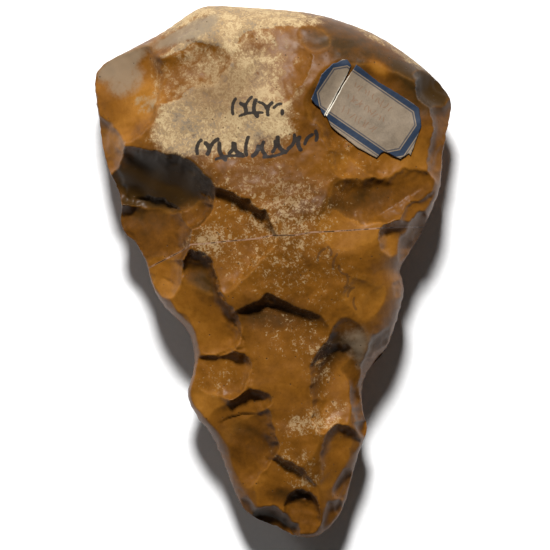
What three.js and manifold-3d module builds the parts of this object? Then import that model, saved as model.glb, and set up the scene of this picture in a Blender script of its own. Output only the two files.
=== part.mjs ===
// A pointed flint hand axe with a broad blunt butt and an old paper label glued to its upper face.
// Millimetres, +Z up. It lies on its lower face: the origin is on the surface it lies on, under the
// middle of the part, +Y runs towards the butt and -Y towards the point.
import * as THREE from "three";
import { mergeVertices } from "three/addons/utils/BufferGeometryUtils.js";
import Module from "manifold-3d";

const wasm = await Module();
wasm.setup();

// ---- the nodule: plan outline and thickness ------------------------------------------------------

// The plan outline, clockwise from the upper left corner, as [x, y].
const BUTT = [
  [-59.3, 62], [-57, 68.5], [-48, 73.7], [-37, 79.5], [-25, 87.4], [-18, 88.5], [-8, 88],
  [8, 86.8], [20, 84.4], [35, 78.6], [47, 70.5], [56, 62.5], [59.4, 56.5],
];
const RIGHT_SIDE = [
  [58.7, 49], [57, 40], [56.2, 29], [54, 22.5], [50.2, 14], [46.5, 7.5], [42.8, 1], [44, -5],
  [42, -15], [38, -25.5], [32, -33], [30, -39], [30.3, -46], [31.5, -52.5], [28.5, -62], [26, -71],
];
const POINT = [[23.5, -79.5], [17, -87.3], [9.5, -88.7], [1, -85], [-6, -82.2], [-10.8, -77.5]];
const LEFT_SIDE = [
  [-14.8, -68], [-17.5, -61], [-21, -54], [-25.5, -48], [-28.3, -41], [-26.9, -34], [-26.3, -26.5],
  [-29, -18.8], [-36, -11.8], [-40.2, -4.5], [-42.5, 3.5], [-45.8, 9.7], [-50.3, 14.8], [-50.8, 25],
  [-54.8, 34.5], [-57.3, 46],
];
const OUTLINE_STEPS = 92;

// The thickest line of the stone runs straight from near the butt to near the point.
const SPINE = { butt: [1, 42], point: [9, -74] };

// Heights of the nodule above and below its edge, at the butt end and the point end of the spine.
const RISE = { butt: 27.5, point: 14, power: 2.2 };
const DROP = { butt: 21.3, point: 11, power: 2 };
const EDGE_HEIGHT = 19.5; // of the edge above the surface the stone lies on, at y = 0
const EDGE_TILT = 0.028; // the edge climbs towards the butt
const EDGE_WAVE = 1.1; // the flaked edge winds up and down by this much
const SPINE_STATIONS = 14; // the rings close onto this many points along the spine
const ROUNDNESS = { butt: 2.8, point: 1.7 }; // exponents of the nodule's rounded section
const WEDGE = 7; // half height, on the spine, of the thin wedge of stone that no flake breaks through

// ---- the flake scars -----------------------------------------------------------------------------

// Each flake ran in the direction `turn` (degrees from +X) and ended at `end`. It left a shallow pan:
// `half` is its length ahead of its deepest line, half its width, and its length behind that line.
// The floor is at height `floor` there and rises by `tilt` per mm ahead and to the left; towards the
// rim the pan climbs by `wall` more, as the power `steep` of the distance.
const OPEN = 60; // length behind for a scar that runs out over the edge
const UPPER_SCARS = [
  // the butt, from the left corner round to the right one
  { name: "left facet", end: [-35, 56.5], turn: -15, half: [12, 18, OPEN], floor: 30.5, tilt: [0.5, 0.05], wall: 3, steep: 4 },
  { name: "left strip", end: [-51.5, 47], turn: 22, half: [6, 13, OPEN], floor: 24, tilt: [1, 0], wall: 5, steep: 4 },
  { name: "corner flute", end: [-14, 73], turn: 24, half: [14, 7, 20], floor: 41.5, tilt: [0.2, -0.1], wall: 2.5, steep: 2.5 },
  { name: "rim bevel", end: [-33, 73], turn: -60, half: [6, 19, OPEN], floor: 35, tilt: [0.6, 0], wall: 4, steep: 4 },
  { name: "grey hollow", end: [-3, 52], turn: -98, half: [14, 9.5, OPEN], floor: 44.3, tilt: [0.22, 0], wall: 1.8, steep: 2 },
  { name: "top lip", end: [12, 73.5], turn: -100, half: [5, 5, OPEN], floor: 39.3, tilt: [0.55, 0], wall: 2.5, steep: 3 },
  { name: "label bed", end: [15, 63], turn: 150, half: [20, 17, OPEN], floor: 40.5, tilt: [0.22, 0], wall: 3, steep: 5 },
  { name: "right corner", end: [47, 61], turn: 195, half: [7, 9, OPEN], floor: 28, tilt: [0.8, 0], wall: 6, steep: 4 },
  { name: "under label", end: [20, 36], turn: 180, half: [14, 7, 40], floor: 40.5, tilt: [0.15, 0], wall: 3, steep: 4 },
  { name: "right patch", end: [43, 39], turn: 175, half: [6, 6, OPEN], floor: 35.5, tilt: [0.4, 0], wall: 3, steep: 4 },
  { name: "right band", end: [51, 42], turn: 180, half: [5, 18, OPEN], floor: 27, tilt: [1, 0], wall: 7, steep: 4 },
  // the right side, down to the notch
  { name: "right valley", end: [17, 22], turn: 188, half: [17, 7.5, OPEN], floor: 37, tilt: [0.32, 0], wall: 6, steep: 2.5 },
  { name: "olive oval", end: [43, 16], turn: 215, half: [5, 4, 20], floor: 33, tilt: [0.5, 0], wall: 4, steep: 3 },
  { name: "right steep upper", end: [43.5, 12], turn: 160, half: [4, 10, OPEN], floor: 25, tilt: [1.6, 0], wall: 8, steep: 4 },
  { name: "right steep lower", end: [40, -2], turn: 180, half: [3, 14, OPEN], floor: 28, tilt: [2.2, 0], wall: 9, steep: 4 },
  { name: "right inner band", end: [35.5, 3], turn: 185, half: [4, 13, OPEN], floor: 35, tilt: [1, 0], wall: 4, steep: 4 },
  { name: "bright facet", end: [21, 4], turn: 220, half: [14, 14, 40], floor: 42.5, tilt: [0.22, 0], wall: 1.2, steep: 4 },
  { name: "brown facet", end: [24, -4], turn: 150, half: [14, 12, OPEN], floor: 35.5, tilt: [0.45, 0], wall: 3, steep: 4 },
  { name: "grey arch", end: [22, -15], turn: 115, half: [12, 8, OPEN], floor: 32.5, tilt: [0.35, 0], wall: 4, steep: 4 },
  { name: "grey corner", end: [28.5, -27], turn: 165, half: [7, 13, OPEN], floor: 24.5, tilt: [1, 0], wall: 7, steep: 4 },
  { name: "long right hollow", end: [16, -39], turn: 175, half: [10, 14, OPEN], floor: 30, tilt: [0.05, 0], wall: 6, steep: 3 },
  { name: "right lower edge", end: [27.3, -42], turn: 178, half: [3.5, 16, OPEN], floor: 23, tilt: [2, 0], wall: 8, steep: 4 },
  // the point
  { name: "right notch", end: [22, -57], turn: 160, half: [6, 5, OPEN], floor: 24, tilt: [0.7, 0], wall: 6, steep: 4 },
  { name: "point right slope", end: [15, -66], turn: 170, half: [9, 12, OPEN], floor: 25.5, tilt: [0.45, 0], wall: 4, steep: 4 },
  { name: "point right band", end: [21, -72], turn: 170, half: [4, 8, OPEN], floor: 20, tilt: [1, 0], wall: 7, steep: 4 },
  { name: "point right bevel", end: [16.5, -80], turn: 145, half: [4, 7, OPEN], floor: 19.5, tilt: [0.9, 0], wall: 7, steep: 4 },
  { name: "point arch", end: [10, -72], turn: 88, half: [8, 6.5, OPEN], floor: 22.5, tilt: [0.15, 0], wall: 5, steep: 4 },
  { name: "point left bevel", end: [0, -78.5], turn: 80, half: [5, 9, OPEN], floor: 18, tilt: [0.9, 0], wall: 5, steep: 4 },
  { name: "left point edge", end: [-6, -76], turn: 35, half: [4, 6, OPEN], floor: 19, tilt: [0.8, 0], wall: 5, steep: 4 },
  { name: "left point run", end: [6, -64.5], turn: 65, half: [9, 14, OPEN], floor: 26, tilt: [0.25, 0.05], wall: 3, steep: 4 },
  // the left side, going up
  { name: "left deep", end: [-5, -47], turn: 60, half: [12, 10, 20], floor: 26, tilt: [0.3, 0], wall: 3, steep: 4 },
  { name: "left under boss", end: [-4, -42], turn: 35, half: [14, 6.5, 20], floor: 27, tilt: [0.3, 0.1], wall: 3, steep: 4 },
  { name: "left boss", end: [-14, -41], turn: 20, half: [10, 8, OPEN], floor: 26, tilt: [0.5, 0], wall: 4, steep: 4 },
  { name: "red speckled", end: [-7, -31], turn: 15, half: [12, 7.5, OPEN], floor: 28.3, tilt: [0.3, 0], wall: 4, steep: 4 },
  { name: "lower left hollow", end: [-35.7, 0.7], turn: 122, half: [22, 13, 14], floor: 30.5, tilt: [0.08, -0.3], wall: 7, steep: 4 },
  { name: "upper left hollow", end: [-26.9, 5.8], turn: 100, half: [14, 7.5, 14], floor: 33.5, tilt: [0, -0.2], wall: 6, steep: 4 },
  { name: "left small facet", end: [-30, -1], turn: 5, half: [6, 9, 20], floor: 27, tilt: [0.6, 0], wall: 4, steep: 4 },
  { name: "left middle", end: [-28, 16], turn: 15, half: [12, 11.5, OPEN], floor: 25.5, tilt: [0.4, -0.05], wall: 5, steep: 4 },
  { name: "left step", end: [-20, 21], turn: 20, half: [8, 4.5, 10], floor: 33.5, tilt: [0.3, 0], wall: 4, steep: 3 },
  { name: "dark shoulder", end: [-38, 39], turn: 80, half: [12, 18, 7], floor: 30, tilt: [0.7, -0.35], wall: 3, steep: 5 },
  // the middle
  { name: "upper left run", end: [-8.5, 22.5], turn: 56, half: [5, 14, 40], floor: 42, tilt: [0.1, 0], wall: 3, steep: 4 },
  { name: "centre hollow", end: [2, -10.3], turn: 88, half: [9, 17, 90], floor: 38, tilt: [0.12, 0], wall: 4, steep: 4 },
];

// The lower face is plainer: flakes struck inwards from all round the edge leave a flat middle.
// The butt, beyond `buttLine`, is left as the rounded skin of the nodule.
const LOWER_RING = {
  count: 20, inset: 33, buttLine: 64, half: [18, 15], depth: { butt: 10, point: 3.8 }, slope: 0.55, wall: 5, steep: 3,
};

const SCAR_SEGMENTS = { upper: 18, lower: 14 };
const SCAR_RINGS = { upper: 5, lower: 4 };
const SCAR_REACH = 1.3; // how far past its rim, in half sizes, a pan goes on climbing
const CLEAR = 80; // taller than the stone, for cutting bodies that have to pass right through

// ---- the label -----------------------------------------------------------------------------------

const LABEL = { length: 35, width: 22, corner: 5, thickness: 0.5, gap: 0.3, at: [31, 53.5], turn: -31.5 };

// ---- helpers -------------------------------------------------------------------------------------

const radians = THREE.MathUtils.degToRad;
const lerp = THREE.MathUtils.lerp;

// A small smooth sideways shift of every scar, because flint never breaks along true ellipses.
const wobble = (x, y) => [
  0.8 * Math.sin(0.29 * y + 0.9) + 0.45 * Math.sin(0.53 * x - 0.31 * y + 2),
  0.8 * Math.sin(0.27 * x + 2.1) + 0.45 * Math.sin(0.37 * x + 0.49 * y),
];

// A closed mesh as a manifold-3d solid, turned to face outwards.
function solid(geometry) {
  const bare = geometry.index ? geometry.toNonIndexed() : geometry.clone();
  const positions = new THREE.BufferGeometry().setAttribute("position", bare.getAttribute("position"));
  const merged = mergeVertices(positions, 1e-4);
  const vertProperties = merged.attributes.position.array;
  const triVerts = new Uint32Array(merged.index.array);
  const made = new wasm.Manifold(new wasm.Mesh({ numProp: 3, vertProperties, triVerts }));
  if (made.volume() > 0) return made;
  for (let i = 0; i < triVerts.length; i += 3) {
    [triVerts[i + 1], triVerts[i + 2]] = [triVerts[i + 2], triVerts[i + 1]];
  }
  return new wasm.Manifold(new wasm.Mesh({ numProp: 3, vertProperties, triVerts }));
}

function geometryOf(made) {
  const mesh = made.getMesh();
  return new THREE.BufferGeometry()
    .setAttribute("position", new THREE.BufferAttribute(mesh.vertProperties, 3))
    .setIndex(new THREE.BufferAttribute(mesh.triVerts, 1));
}

// The height of the edge line, where the upper and the lower face meet.
const edgeHeight = (x, y) => EDGE_HEIGHT + EDGE_TILT * y + EDGE_WAVE * Math.sin(y / 9 + x / 30);

// How far the rounded section has risen at t, from 0 on the outline to 1 on the spine.
function bulge(t, along) {
  const power = lerp(ROUNDNESS.butt, ROUNDNESS.point, along);
  return Math.pow(1 - Math.pow(1 - t, power), 1 / power);
}

const spinePoint = (along) => [0, 1].map((axis) => lerp(SPINE.butt[axis], SPINE.point[axis], along));

// The point of the spine nearest to [x, y], and how far along the spine it is, from 0 at the butt.
function nearestOnSpine([x, y]) {
  const [bx, by] = SPINE.butt;
  const [dx, dy] = [SPINE.point[0] - bx, SPINE.point[1] - by];
  const along = THREE.MathUtils.clamp(((x - bx) * dx + (y - by) * dy) / (dx * dx + dy * dy), 0, 1);
  return { foot: spinePoint(along), along };
}

// ---- the bodies ----------------------------------------------------------------------------------

const outline = new THREE.CatmullRomCurve3(
  [...BUTT, ...RIGHT_SIDE, ...POINT, ...LEFT_SIDE].map(([x, y]) => new THREE.Vector3(x, y, 0)),
  true,
  "catmullrom",
  0.5,
)
  .getSpacedPoints(OUTLINE_STEPS)
  .slice(0, OUTLINE_STEPS)
  .map((p) => [p.x, p.y]);

// A closed body on the outline: on both faces rings shrink onto the spine, at the heights that `upper`
// and `lower` give from (x, y, t, along). The last ring closes onto a few stations along the spine.
function outlineBody(upper, lower, ringCount) {
  const count = outline.length;
  const vertices = [];
  const faces = [];
  const addRing = (t, height) =>
    outline.forEach(([px, py]) => {
      const { foot, along } = nearestOnSpine([px, py]);
      const station = Math.round(along * SPINE_STATIONS) / SPINE_STATIONS;
      const [x, y] = t < 1 ? [lerp(px, foot[0], t), lerp(py, foot[1], t)] : spinePoint(station);
      vertices.push([x, y, height(x, y, t, t < 1 ? along : station)]);
    });
  const same = (a, b) => vertices[a].every((value, axis) => value === vertices[b][axis]);
  const addFace = (a, b, c) => {
    if (!same(a, b) && !same(b, c) && !same(c, a)) faces.push([a, b, c]);
  };
  addRing(0, edgeHeight);
  for (const [height, side] of [[upper, 1], [lower, -1]]) {
    let outer = 0;
    for (let k = 1; k <= ringCount; k++) {
      const inner = vertices.length;
      addRing(Math.pow(k / ringCount, 1.7), height);
      for (let i = 0; i < count; i++) {
        const [near, far] = side > 0 ? [i, (i + 1) % count] : [(i + 1) % count, i];
        addFace(outer + near, inner + near, inner + far);
        addFace(outer + near, inner + far, outer + far);
      }
      outer = inner;
    }
  }
  return solid(
    new THREE.BufferGeometry()
      .setAttribute("position", new THREE.Float32BufferAttribute(vertices.flat(), 3))
      .setIndex(faces.flat()),
  );
}

const riseAt = (along) => lerp(RISE.butt, RISE.point, Math.pow(along, RISE.power));
const dropAt = (along) => lerp(DROP.butt, DROP.point, Math.pow(along, DROP.power));

const nodule = () =>
  outlineBody(
    (x, y, t, along) => edgeHeight(x, y) + riseAt(along) * bulge(t, along),
    (x, y, t, along) => edgeHeight(x, y) - dropAt(along) * bulge(t, along),
    8,
  );

const edgeWedge = () =>
  outlineBody(
    (x, y, t) => edgeHeight(x, y) + WEDGE * t,
    (x, y, t) => edgeHeight(x, y) - WEDGE * t,
    3,
  );

// The body that one flake took away: a turned pan, stretched, tilted and set in its place, and open
// upwards on the upper face or downwards on the lower one.
function flake({ end, floor, turn, half, tilt, wall, steep }, face) {
  const side = face === "upper" ? 1 : -1;
  const rings = SCAR_RINGS[face];
  const profile = [];
  for (let k = 0; k <= rings; k++) {
    const r = SCAR_REACH * Math.pow(k / rings, 0.6);
    profile.push(new THREE.Vector2(r, wall * Math.pow(r, steep)));
  }
  profile.push(new THREE.Vector2(SCAR_REACH, CLEAR), new THREE.Vector2(0, CLEAR));
  const pan = new THREE.LatheGeometry(profile, SCAR_SEGMENTS[face]).rotateX(Math.PI / 2);
  const place = pan.getAttribute("position");
  const [cos, sin] = [Math.cos(radians(turn)), Math.sin(radians(turn))];
  const [ahead, across, behind] = half;
  for (let i = 0; i < place.count; i++) {
    const u = place.getX(i) * (place.getX(i) > 0 ? ahead : behind);
    const v = place.getY(i) * across;
    const x = end[0] + (u - ahead) * cos - v * sin;
    const y = end[1] + (u - ahead) * sin + v * cos;
    const [shiftX, shiftY] = wobble(x, y);
    const height = floor + side * (place.getZ(i) + tilt[0] * u + tilt[1] * v);
    place.setXYZ(i, x + shiftX, y + shiftY, height);
  }
  return solid(pan);
}

// The lower face's flakes, struck inwards at even steps round the outline, no two quite alike.
function lowerScars() {
  const { count, inset, buttLine, half, depth, slope, wall, steep } = LOWER_RING;
  const struck = Array.from({ length: count }, (_, i) => outline[Math.round((i * outline.length) / count)]);
  return struck.filter(([, py]) => py < buttLine).map(([px, py], i) => {
    const { foot, along } = nearestOnSpine([px, py]);
    const [dx, dy] = [foot[0] - px, foot[1] - py];
    const step = Math.min(0.95, (inset * (1 + 0.18 * Math.sin(i * 2.4))) / Math.hypot(dx, dy));
    const size = (1 + 0.15 * Math.sin(i * 1.7)) * lerp(1, 0.72, along);
    return {
      end: [px + dx * step, py + dy * step],
      floor: edgeHeight(px, py) - lerp(depth.butt, depth.point, along),
      turn: THREE.MathUtils.radToDeg(Math.atan2(dy, dx)) + 14 * Math.sin(i * 3.1),
      half: [half[0] * size, half[1] * size, OPEN],
      tilt: [slope * lerp(1, 0.75, along), 0.1 * Math.sin(i * 4.3)],
      wall,
      steep,
    };
  });
}

function stone() {
  const cuts = [
    ...UPPER_SCARS.map((scar) => flake(scar, "upper")),
    ...lowerScars().map((scar) => flake(scar, "lower")),
  ];
  const flaked = cuts.reduce((body, cut) => body.subtract(cut), nodule()).add(edgeWedge());
  const below = solid(new THREE.BoxGeometry(400, 400, CLEAR).translate(0, 0, -CLEAR / 2));
  return flaked.subtract(below);
}

// The label lies on the stone: the slice of an eight-sided prism between two copies of the stone's
// own surface, lifted by the gap and by the gap and the paper's thickness.
function label(body) {
  const { length, width, corner, thickness, gap, at, turn } = LABEL;
  const [l, w] = [length / 2, width / 2];
  const plan = new THREE.Shape([
    [l, w - corner], [l - corner, w], [corner - l, w], [-l, w - corner],
    [-l, corner - w], [corner - l, -w], [l - corner, -w], [l, corner - w],
  ].map(([x, y]) => new THREE.Vector2(x, y)));
  const prism = solid(
    new THREE.ExtrudeGeometry(plan, { depth: CLEAR, bevelEnabled: false })
      .rotateZ(radians(turn))
      .translate(at[0], at[1], EDGE_HEIGHT),
  );
  return prism.intersect(body.translate([0, 0, gap + thickness])).subtract(body.translate([0, 0, gap]));
}

// ---- the part ------------------------------------------------------------------------------------

const flint = new THREE.MeshStandardMaterial({ color: 0x9a6a2c, roughness: 0.42, metalness: 0 });
const paper = new THREE.MeshStandardMaterial({ color: 0xa89a8a, roughness: 0.9, metalness: 0 });

function named(name, made, material) {
  const mesh = new THREE.Mesh(geometryOf(made), material);
  mesh.name = name;
  return mesh;
}

const stoneBody = stone();
const handAxe = new THREE.Group();
handAxe.add(named("stone", stoneBody, flint), named("paper_label", label(stoneBody), paper));

export default handAxe;
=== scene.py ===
"""A pointed flint hand axe with a torn paper label, laid out as an add-on and run as a script."""

import math

import bpy
import numpy as np
from bpy.props import FloatProperty, FloatVectorProperty, IntProperty, PointerProperty
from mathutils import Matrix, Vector, geometry


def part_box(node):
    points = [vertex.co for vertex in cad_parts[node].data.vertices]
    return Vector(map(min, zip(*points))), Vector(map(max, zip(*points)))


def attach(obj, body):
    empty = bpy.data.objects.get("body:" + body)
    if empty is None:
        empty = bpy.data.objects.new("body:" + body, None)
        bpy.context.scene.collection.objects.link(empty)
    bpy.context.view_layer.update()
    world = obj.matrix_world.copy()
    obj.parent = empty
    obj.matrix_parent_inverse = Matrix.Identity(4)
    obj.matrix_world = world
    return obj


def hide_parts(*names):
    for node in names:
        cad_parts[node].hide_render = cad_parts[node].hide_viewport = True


bl_info = {
    "name": "Flint Hand Axe",
    "version": (1, 0, 0),
    "blender": (4, 5, 0),
    "location": "3D View > Sidebar > Hand Axe",
    "description": "Knaps a flint hand axe, glues its paper label on and sets it on a studio table",
    "category": "Add Mesh",
}

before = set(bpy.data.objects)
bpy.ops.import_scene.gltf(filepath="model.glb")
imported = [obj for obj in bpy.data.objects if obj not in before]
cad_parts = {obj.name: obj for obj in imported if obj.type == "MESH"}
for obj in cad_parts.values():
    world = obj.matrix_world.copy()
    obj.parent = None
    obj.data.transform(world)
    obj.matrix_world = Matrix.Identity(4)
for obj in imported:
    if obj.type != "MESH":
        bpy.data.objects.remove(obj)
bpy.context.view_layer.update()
MM = 0.001

# ---- the nodule, in millimetres ------------------------------------------------------------------

BUTT = [
    (-59.3, 62), (-57, 68.5), (-48, 73.7), (-37, 79.5), (-25, 87.4), (-18, 88.5), (-8, 88),
    (8, 86.8), (20, 84.4), (35, 78.6), (47, 70.5), (56, 62.5), (59.4, 56.5),
]
RIGHT_SIDE = [
    (58.7, 49), (57, 40), (56.2, 29), (54, 22.5), (50.2, 14), (46.5, 7.5), (42.8, 1), (44, -5),
    (42, -15), (38, -25.5), (32, -33), (30, -39), (30.3, -46), (31.5, -52.5), (28.5, -62), (26, -71),
]
POINT = [(23.5, -79.5), (17, -87.3), (9.5, -88.7), (1, -85), (-6, -82.2), (-10.8, -77.5)]
LEFT_SIDE = [
    (-14.8, -68), (-17.5, -61), (-21, -54), (-25.5, -48), (-28.3, -41), (-26.9, -34), (-26.3, -26.5),
    (-29, -18.8), (-36, -11.8), (-40.2, -4.5), (-42.5, 3.5), (-45.8, 9.7), (-50.3, 14.8), (-50.8, 25),
    (-54.8, 34.5), (-57.3, 46),
]
SPINE = np.array([(1, 42), (9, -74)], float)
RISE = (27.5, 14, 2.2)  # of the upper face over the edge: at the butt, at the point, power between
DROP = (21.3, 11, 2)  # of the lower face under the edge
EDGE_HEIGHT, EDGE_TILT, EDGE_WAVE = 19.5, 0.028, 1.1
ROUNDNESS = (2.8, 1.7)  # power of the rounding from edge to spine: at the butt, at the point
WEDGE = 7  # least rise of each face from the edge to the spine, which no scar cuts away
SCAR_REACH = 1.3  # how far a scar's pan runs on past its rim, where the rim is 1
OPEN = 60  # how far back a scar runs where it is open towards the edge

# name: end, turn, (ahead, across, behind), floor, (tilt ahead, tilt left), wall, steep, tone
# A scar's tone lightens or darkens its patina; on scars in shade, like the dark shoulder, partly painted
# shade.
UPPER_SCARS = {
    "left facet": ((-38.5, 56), -20, (12, 18, OPEN), 30.5, (0.5, 0.05), 3, 6, 0.1),
    "left strip": ((-51.5, 47), 22, (6, 13, OPEN), 24, (1, 0), 5, 6, 0.5),
    "corner flute": ((-14, 73), 24, (14, 7, 20), 41.5, (0.2, -0.1), 2.5, 3.5, 0.2),
    "rim bevel": ((-33, 73), -60, (6, 19, OPEN), 35, (0.6, 0), 4, 6, -0.2),
    "grey hollow": ((-7, 52), -108, (14, 9.5, OPEN), 44.5, (0.22, 0), 1.8, 3, 0.1),
    "top lip": ((12, 73.5), -110, (6, 7, OPEN), 40.2, (0.55, 0), 2, 4.5, -0.2),
    "label bed": ((15, 63), 150, (20, 17, OPEN), 40.5, (0.22, 0), 3, 7, 0.1),
    "right corner": ((47, 61), 195, (7, 9, OPEN), 28, (0.8, 0), 4, 6, -0.5),
    "under label": ((20, 36), 180, (14, 7, 40), 41, (0.15, 0), 3, 6, 0.4),
    "right patch": ((43, 39), 175, (6, 6, OPEN), 35.5, (0.4, 0), 3, 6, 0.3),
    "right band": ((51, 42), 180, (5, 18, OPEN), 27, (1, 0), 7, 6, 0.1),
    "right valley": ((17, 22), 188, (17, 8, OPEN), 37.6, (0.32, 0), 4.5, 3, -0.4),
    "olive oval": ((43, 16), 215, (5, 4, 20), 33, (0.5, 0), 4, 4.5, 0.1),
    "right steep upper": ((43.5, 12), 160, (4, 10, OPEN), 25, (1.6, 0), 8, 6, -0.1),
    "right steep lower": ((40, -2), 180, (3, 14, OPEN), 28, (1.6, 0), 9, 6, 0.1),
    "right inner band": ((35.5, 3), 185, (4, 13, OPEN), 36, (0.7, 0), 4, 6, 0.3),
    "bright facet": ((21, 4), 220, (14, 14, 40), 43, (0.22, 0), 1.2, 6, 0.6),
    "brown facet": ((24, -4), 150, (14, 12, OPEN), 35.5, (0.45, 0), 3, 6, 0.5),
    "grey arch": ((22, -15), 115, (12, 8, OPEN), 32.5, (0.6, 0), 2.5, 6, -0.4),
    "grey corner": ((28.5, -27), 165, (7, 13, OPEN), 24.5, (1, 0), 7, 6, -0.5),
    "long right hollow": ((12.5, -38), 175, (10, 14, OPEN), 30, (0.05, 0), 4, 4.5, 0.2),
    "right lower edge": ((27.3, -42), 178, (3.5, 16, OPEN), 23, (2, 0), 8, 6, 0.1),
    "right notch": ((22, -57), 160, (6, 5, OPEN), 24, (0.7, 0), 6, 6, -0.4),
    "point right slope": ((15, -66), 170, (9, 14, OPEN), 25.5, (0.45, 0), 2, 6, 0.2),
    "point right band": ((21, -72), 170, (4, 8, OPEN), 20, (1, 0), 7, 6, -0.2),
    "point right bevel": ((16.5, -80), 145, (4, 7, OPEN), 19.5, (0.9, 0), 7, 6, -0.3),
    "point arch": ((10, -72), 88, (8, 6.5, OPEN), 22.5, (0.15, 0), 5, 6, -0.1),
    "point left bevel": ((0, -78.5), 80, (5, 9, OPEN), 18, (0.9, 0), 5, 6, -0.6),
    "left point edge": ((-6, -76), 35, (4, 6, OPEN), 19, (0.8, 0), 5, 6, -0.3),
    "left point run": ((6, -64.5), 65, (9, 14, OPEN), 26.5, (0.25, 0.05), 1.5, 6, 0.3),
    "left deep": ((-5, -47), 60, (12, 10, 20), 26, (0.3, 0), 1.5, 6, -0.2),
    "left under boss": ((-4, -42), 35, (14, 6.5, 20), 27, (0.3, 0.1), 1.5, 6, 0),
    "left boss": ((-14, -41), 20, (10, 8, OPEN), 26, (0.5, 0), 4, 6, 0.4),
    "red speckled": ((-7, -31), 15, (12, 7.5, OPEN), 28.3, (0.3, 0), 4, 6, 0.2),
    "lower left hollow": ((-35.7, 0.7), 122, (22, 13, 14), 30.5, (0.08, -0.3), 7, 6, 0.3),
    "upper left hollow": ((-26.9, 5.8), 100, (14, 7.5, 14), 33.5, (0, -0.2), 6, 6, 0),
    "left small facet": ((-30, -1), 5, (6, 9, 20), 27, (0.6, 0), 4, 6, 0.7),
    "left middle": ((-28, 16), 15, (12, 11.5, OPEN), 25.5, (0.4, -0.05), 5, 6, -0.3),
    "left step": ((-20, 21), 20, (8, 4.5, 10), 33.5, (0.3, 0), 4, 4.5, -0.5),
    "dark shoulder": ((-38, 39), 80, (12, 18, 7), 30, (0.7, -0.35), 2.5, 7, -0.7),
    "upper left run": ((-8.5, 22.5), 56, (5, 14, 40), 42, (0.1, 0), 3, 6, 0),
    "centre hollow": ((2, -10.3), 88, (9, 17, 90), 38, (0.12, 0), 2, 6, 0.1),
}
LOWER_COUNT, LOWER_INSET, LOWER_BUTT_LINE = 20, 33, 64
LOWER_HALF, LOWER_DEPTH, LOWER_SLOPE, LOWER_WALL, LOWER_STEEP = (18, 15), (10, 3.8), 0.55, 5, 3
LOWER_OUTLINE_STEPS = 92

# Thin steps where a flake broke off short: a path whose left side is the low one, the height of the
# step, and how far the low side takes to come up again.
LEDGES = [
    ([(-29, 20.3), (-32, 21.7), (-36, 23.8), (-41, 25), (-46, 24.2)], 1.7, 4.5),
    ([(-24.5, 27), (-21, 24.5), (-19, 21.5)], 0.8, 2.5),
    ([(-8, -26), (-11, -19), (-14, -13), (-17, -6), (-19.5, 0.5), (-22.5, 4.3)], 1.5, 3),
    ([(7, -12.3), (3, -11.3), (-3, -10.8), (-8, -11.4), (-13.5, -13.5)], 1.4, 7),
    ([(-7, -38), (-6.3, -32), (-8, -26)], 0.45, 1.5),
    ([(-8, -24.3), (-13, -25.6), (-20, -27.8), (-27, -28.3)], 0.9, 4),
    ([(-2, -42.5), (-5, -39.6), (-9, -38)], 0.7, 2),
    ([(9.5, -66.5), (5, -63.8), (1, -61.8), (-2, -61.5)], 0.8, 2.5),
    ([(15, -76.5), (12, -74), (8, -72.6), (4.5, -74.5)], 1.6, 4),
    ([(-31.5, -5), (-34, -2.6), (-37, -1.8)], 0.6, 2),
    ([(-3, -47), (-9, -46.6), (-14, -48), (-18.5, -50.5)], 0.8, 5),
    ([(4, -80.5), (-1, -78.6), (-6, -78.8)], 0.8, 3),
    ([(30, 15), (36, 19), (44, 24), (50, 28)], 0.5, 3),
]

# ---- patches of colour and crust, as (x, y, radius along, radius across, turn, strength) -----------

CORTEX = [
    (-20, 62, 22, 24, 0, 1.15), (0, 66, 12, 18, 0, 0.7), (-6, 46, 20, 9, -20, 0.45), (-30, 44, 10, 7, 0, 0.7),
    (-20, 84, 24, 6, 0, 0.6), (6, 85, 20, 4, -6, 0.55), (34, 78, 16, 2.5, -32, 0.55),
    (50, 67, 9, 2.5, -45, 0.45),
]
CREAM = [
    (2, 4, 26, 15, -15, 0.5), (-22, 10, 7, 5, 0, 0.9), (12, 22, 18, 11, 0, 0.35), (12, -50, 10, 5, 10, 0.9),
    (6, -22, 12, 9, 0, 0.45), (16, -32, 5, 12, 0, 0.6), (8, -63, 10, 5, -20, 0.6), (10, -70, 5, 3, 0, 0.7),
    (-17, -35, 9, 6, 0, 0.5), (-2, 30, 20, 9, -25, 0.5), (22, -45, 3, 4, 0, 0.5), (28, 40, 12, 10, 0, 0.4),
    (-8, 20, 22, 10, -30, 0.25),
]
SOFT = [
    (-15, 62, 30, 26, 0, 1.3), (22, 62, 26, 16, -34, 1.2), (8, 34, 22, 12, 0, 1.0), (22, 14, 12, 12, 0, 0.8),
]
GREY = [
    (-27, 79.5, 12, 3, 30, 1.1), (-20, 78, 8, 5, 20, 0.5), (-49, 64, 9, 8, 10, 0.95), (6, 75, 9, 5, 0, 0.6),
    (28, -23, 8, 8, 0, 0.8), (-5, 64, 7, 10, 0, 0.5), (29, -40, 2, 16, 0, 0.5), (-46, 72, 16, 3, 28, 0.7),
    (18, -52, 2, 14, -10, 0.3), (43, 26, 14, 3, 10, 0.35), (38, 10, 3, 16, 10, 0.5),
]
DULL = [
    (-18, 60, 15, 11, 0, 0.75), (8, 60, 8, 8, 0, 0.6), (14, 70, 6, 5, 0, 0.6), (-2, 30, 16, 7, -20, 0.6),
    (-22, 74, 9, 3, 30, 0.5),
]
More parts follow.
